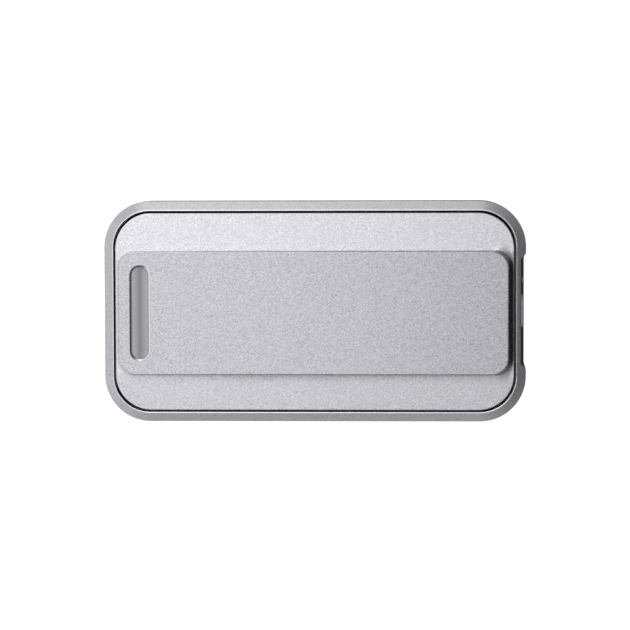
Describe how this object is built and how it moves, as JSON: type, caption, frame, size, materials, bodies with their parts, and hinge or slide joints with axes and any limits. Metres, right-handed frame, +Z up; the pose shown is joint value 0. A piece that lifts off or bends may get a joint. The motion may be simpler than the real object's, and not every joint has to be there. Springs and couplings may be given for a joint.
{
  "type": "portable solid state drive",
  "caption": "Pocket-size external storage drive: flat aluminium case with a sloped rim, a wedge-shaped top cover with a finger groove, and one USB-C socket at the end.",
  "frame": {"origin": "middle of the footprint, on the plane that the four feet stand on", "axes": "+X along the case towards the socket end, +Y across it, +Z up out of the cover"},
  "size_m": [0.11, 0.0576, 0.0129],
  "materials": {
    "case_aluminium": "bead-blasted and clear anodised, polished chamfers",
    "cover_aluminium": "bead-blasted and clear anodised, polished chamfer, finer finish in the groove",
    "seal_rubber": "matt black silicone",
    "foot_rubber": "matt dark grey rubber",
    "screw_steel": "plain steel, turned",
    "film_plastic": "amber insulating film",
    "board_laminate": "green solder mask over woven laminate",
    "module_laminate": "blue-green solder mask over woven laminate",
    "socket_steel": "drawn and plated steel",
    "tongue_plastic": "black glass-filled plastic",
    "contact_gold": "gold-plated contacts",
    "light_pipe_plastic": "frosted clear plastic",
    "lamp_plastic": "milky lens",
    "chip_plastic": "black moulded resin",
    "crystal_metal": "plated metal can",
    "coil_ferrite": "dark grey sintered ferrite",
    "polymer_resin": "ochre moulded resin",
    "chip_ceramic": "tan ceramic with tinned ends",
    "thermal_pad": "soft grey-blue silicone",
    "spacer_brass": "turned brass"
  },
  "bodies": {
    "root": {"base_shell": "case_aluminium", "top_cover": "cover_aluminium", "cover_seal": "seal_rubber", "foot_1": "foot_rubber", "foot_2": "foot_rubber", "foot_3": "foot_rubber", "foot_4": "foot_rubber", "cover_screws": "screw_steel", "board_insulator": "film_plastic", "carrier_board": "board_laminate", "board_screws": "screw_steel", "usb_c_shell": "socket_steel", "usb_c_tongue": "tongue_plastic", "usb_c_contacts": "contact_gold", "light_pipe": "light_pipe_plastic", "status_led": "lamp_plastic", "esd_diodes": "chip_plastic", "power_delivery_chip": "chip_plastic", "bridge_chip": "chip_plastic", "bridge_thermal_pad": "thermal_pad", "firmware_chip": "chip_plastic", "crystal_can": "crystal_metal", "buck_coil_large": "coil_ferrite", "buck_coil_small": "coil_ferrite", "buck_regulator_chip": "chip_plastic", "polymer_capacitors": "polymer_resin", "ceramic_capacitors": "chip_ceramic", "chip_resistors": "chip_plastic", "module_socket": "tongue_plastic", "module_socket_contacts": "contact_gold", "module_spacer": "spacer_brass", "module_screw": "screw_steel", "memory_module_board": "module_laminate", "module_edge_contacts": "contact_gold", "memory_controller": "chip_plastic", "dram_chip": "chip_plastic", "flash_chip_1": "chip_plastic", "flash_chip_2": "chip_plastic", "flash_chip_3": "chip_plastic", "flash_chip_4": "chip_plastic", "module_power_chip": "chip_plastic", "module_coils": "coil_ferrite", "module_capacitors": "chip_ceramic", "controller_thermal_pad": "thermal_pad", "flash_thermal_pad": "thermal_pad"}
  },
  "joints": []
}
